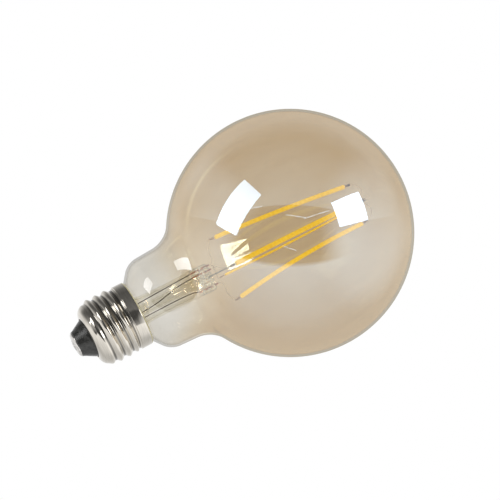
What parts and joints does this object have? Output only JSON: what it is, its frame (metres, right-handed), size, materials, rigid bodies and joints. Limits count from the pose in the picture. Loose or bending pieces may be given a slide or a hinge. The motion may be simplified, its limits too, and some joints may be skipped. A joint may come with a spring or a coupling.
{
  "type": "smart filament light bulb",
  "caption": "Amber glass globe bulb with LED filament strips inside and a screw cap holding a wireless driver.",
  "frame": {"origin": "centre of the flat outer face of the centre contact, at the end of the cap", "axes": "+Z along the bulb's axis, out of the cap towards the lamp holder, so the globe hangs towards -Z; +X towards filament 1"},
  "size_m": [0.0948, 0.0948, 0.1405],
  "materials": {
    "amber_glass": "polished amber-tinted blown glass",
    "clear_glass": "polished clear glass",
    "nickel_plate": "bright nickel plate on rolled brass",
    "contact_metal": "tinned, slightly dull",
    "black_insulator": "black, half gloss",
    "cement_resin": "hardened yellowish cement",
    "phosphor": "orange-yellow phosphor silicone",
    "lead_nickel": "drawn nickel-plated wire",
    "seal_copper": "copper-clad wire, slightly oxidised",
    "dark_bead": "fired dark bead",
    "can_steel": "bright drawn steel",
    "board_laminate": "green solder mask",
    "module_laminate": "blue solder mask",
    "chip_resin": "moulded black resin",
    "capacitor_can": "shrink-wrapped can",
    "ferrite": "sintered ferrite",
    "resistor_coat": "painted ceramic",
    "sleeve_film": "insulating film"
  },
  "bodies": {
    "root": {"board_feed": "lead_nickel", "board_sleeve": "sleeve_film", "bridge_rectifier": "chip_resin", "cap_cement": "cement_resin", "centre_contact": "contact_metal", "centre_feed": "lead_nickel", "driver_board": "board_laminate", "driver_chip_1": "chip_resin", "driver_chip_2": "chip_resin", "exhaust_tube": "clear_glass", "filament_1": "phosphor", "filament_2": "phosphor", "filament_3": "phosphor", "filament_4": "phosphor", "foot_tab_1": "lead_nickel", "foot_tab_2": "lead_nickel", "foot_tab_3": "lead_nickel", "foot_tab_4": "lead_nickel", "fusible_resistor": "resistor_coat", "globe_envelope": "amber_glass", "inner_lead_a": "lead_nickel", "inner_lead_b": "lead_nickel", "inner_lead_c": "lead_nickel", "insulator": "black_insulator", "jumper_wire": "lead_nickel", "module_shield": "can_steel", "outer_lead_a": "seal_copper", "outer_lead_b": "seal_copper", "outer_lead_c": "seal_copper", "power_inductor": "ferrite", "screw_shell": "nickel_plate", "seal_wire_a": "seal_copper", "seal_wire_b": "seal_copper", "seal_wire_c": "seal_copper", "shell_feed": "lead_nickel", "smoothing_capacitor": "capacitor_can", "stem_press": "clear_glass", "stem_tube": "clear_glass", "support_wire": "can_steel", "top_hub": "dark_bead", "top_tab_1": "lead_nickel", "top_tab_2": "lead_nickel", "top_tab_3": "lead_nickel", "top_tab_4": "lead_nickel", "top_wire_1": "lead_nickel", "top_wire_2": "lead_nickel", "top_wire_3": "lead_nickel", "top_wire_4": "lead_nickel", "wireless_module": "module_laminate"}
  },
  "joints": []
}
